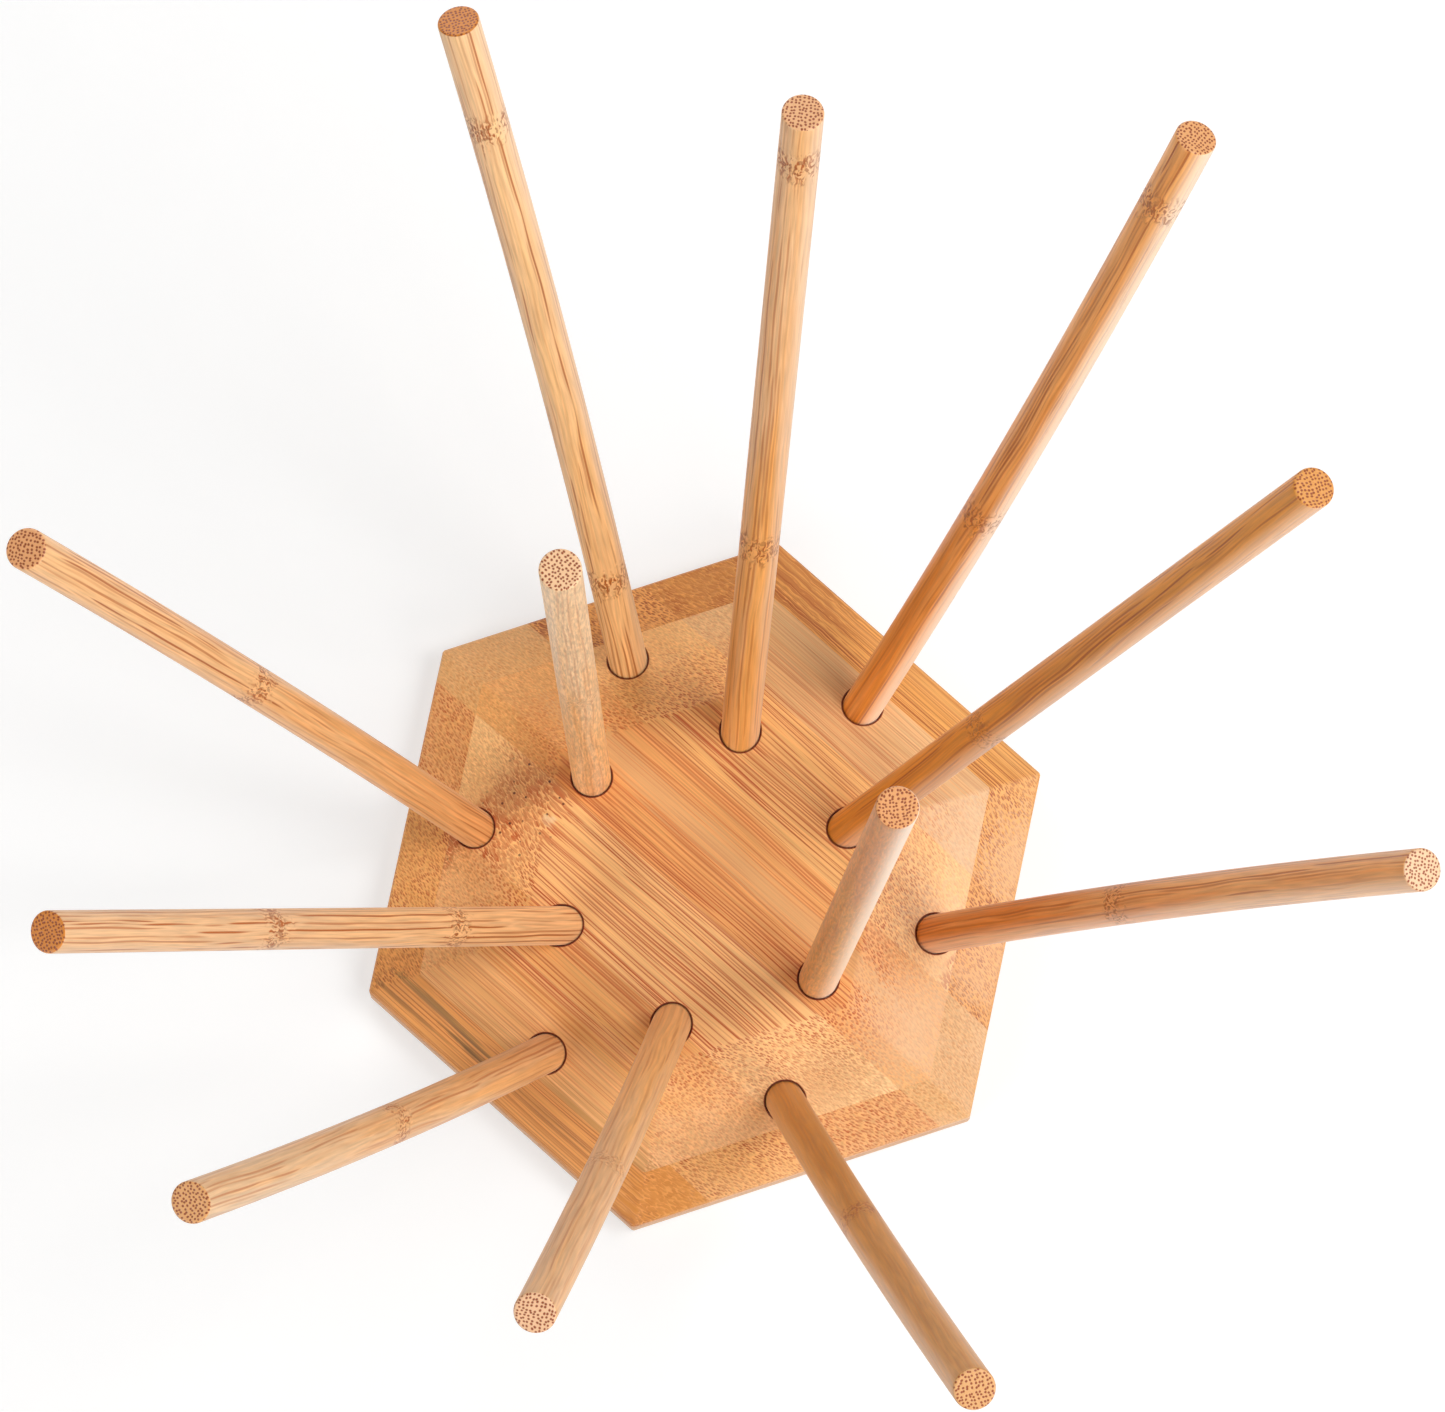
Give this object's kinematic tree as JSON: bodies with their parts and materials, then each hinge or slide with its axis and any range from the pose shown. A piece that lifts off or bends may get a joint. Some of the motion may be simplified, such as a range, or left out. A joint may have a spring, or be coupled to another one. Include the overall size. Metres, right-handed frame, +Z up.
{
  "type": "mug tree",
  "caption": "Tabletop drying and mug tree: slender bamboo rods fan out from sockets in a low bevelled hexagonal block of laminated bamboo.",
  "frame": {"origin": "centre of the hexagonal underside, on the surface that the block rests on", "axes": "+Z up, +X along the grain of the block towards the corner where upright_rod_1 stands, +Y across the grain"},
  "size_m": [0.2478, 0.2787, 0.2321],
  "materials": {
    "board_bamboo": "clear satin lacquer over laminated bamboo strips, grain along X",
    "rod_bamboo": "clear satin lacquer over round bamboo rod, fibres along the rod"
  },
  "bodies": {
    "block": {"bottom_ply_strip_1": "board_bamboo", "bottom_ply_strip_2": "board_bamboo", "bottom_ply_strip_3": "board_bamboo", "bottom_ply_strip_4": "board_bamboo", "bottom_ply_strip_5": "board_bamboo", "bottom_ply_strip_6": "board_bamboo", "middle_ply_strip_1": "board_bamboo", "middle_ply_strip_2": "board_bamboo", "middle_ply_strip_3": "board_bamboo", "middle_ply_strip_4": "board_bamboo", "middle_ply_strip_5": "board_bamboo", "middle_ply_strip_6": "board_bamboo", "top_ply_strip_1": "board_bamboo", "top_ply_strip_2": "board_bamboo", "top_ply_strip_3": "board_bamboo", "top_ply_strip_4": "board_bamboo", "top_ply_strip_5": "board_bamboo"},
    "slope_rod_1": {"slope_rod_1": "rod_bamboo"},
    "slope_rod_2": {"slope_rod_2": "rod_bamboo"},
    "slope_rod_3": {"slope_rod_3": "rod_bamboo"},
    "slope_rod_4": {"slope_rod_4": "rod_bamboo"},
    "slope_rod_5": {"slope_rod_5": "rod_bamboo"},
    "slope_rod_6": {"slope_rod_6": "rod_bamboo"},
    "top_rod_1": {"top_rod_1": "rod_bamboo"},
    "top_rod_2": {"top_rod_2": "rod_bamboo"},
    "top_rod_3": {"top_rod_3": "rod_bamboo"},
    "top_rod_4": {"top_rod_4": "rod_bamboo"},
    "upright_rod_1": {"upright_rod_1": "rod_bamboo"},
    "upright_rod_2": {"upright_rod_2": "rod_bamboo"}
  },
  "joints": [
    {"name": "slope_rod_1_pull", "type": "slide", "parent": "block", "child": "slope_rod_1", "axis": [0.3268, 0.2082, 0.9219], "range_m": [0, 0.02]},
    {"name": "slope_rod_2_pull", "type": "slide", "parent": "block", "child": "slope_rod_2", "axis": [0.0037, 0.4226, 0.9063], "range_m": [0, 0.02]},
    {"name": "slope_rod_3_pull", "type": "slide", "parent": "block", "child": "slope_rod_3", "axis": [-0.3468, 0.2125, 0.9135], "range_m": [0, 0.02]},
    {"name": "slope_rod_4_pull", "type": "slide", "parent": "block", "child": "slope_rod_4", "axis": [-0.3248, -0.1515, 0.9336], "range_m": [0, 0.02]},
    {"name": "slope_rod_5_pull", "type": "slide", "parent": "block", "child": "slope_rod_5", "axis": [-0.0192, -0.366, 0.9304], "range_m": [0, 0.02]},
    {"name": "slope_rod_6_pull", "type": "slide", "parent": "block", "child": "slope_rod_6", "axis": [0.3394, -0.1767, 0.9239], "range_m": [0, 0.02]},
    {"name": "top_rod_1_pull", "type": "slide", "parent": "block", "child": "top_rod_1", "axis": [0.1861, 0.3652, 0.9121], "range_m": [0, 0.02]},
    {"name": "top_rod_2_pull", "type": "slide", "parent": "block", "child": "top_rod_2", "axis": [-0.214, 0.3173, 0.9239], "range_m": [0, 0.02]},
    {"name": "top_rod_3_pull", "type": "slide", "parent": "block", "child": "top_rod_3", "axis": [-0.2192, -0.3796, 0.8988], "range_m": [0, 0.02]},
    {"name": "top_rod_4_pull", "type": "slide", "parent": "block", "child": "top_rod_4", "axis": [0.1737, -0.341, 0.9239], "range_m": [0, 0.02]},
    {"name": "upright_rod_1_pull", "type": "slide", "parent": "block", "child": "upright_rod_1", "axis": [0.0388, 0.0402, 0.9984], "range_m": [0, 0.02]},
    {"name": "upright_rod_2_pull", "type": "slide", "parent": "block", "child": "upright_rod_2", "axis": [-0.0174, 0.0012, 0.9998], "range_m": [0, 0.02]}
  ]
}
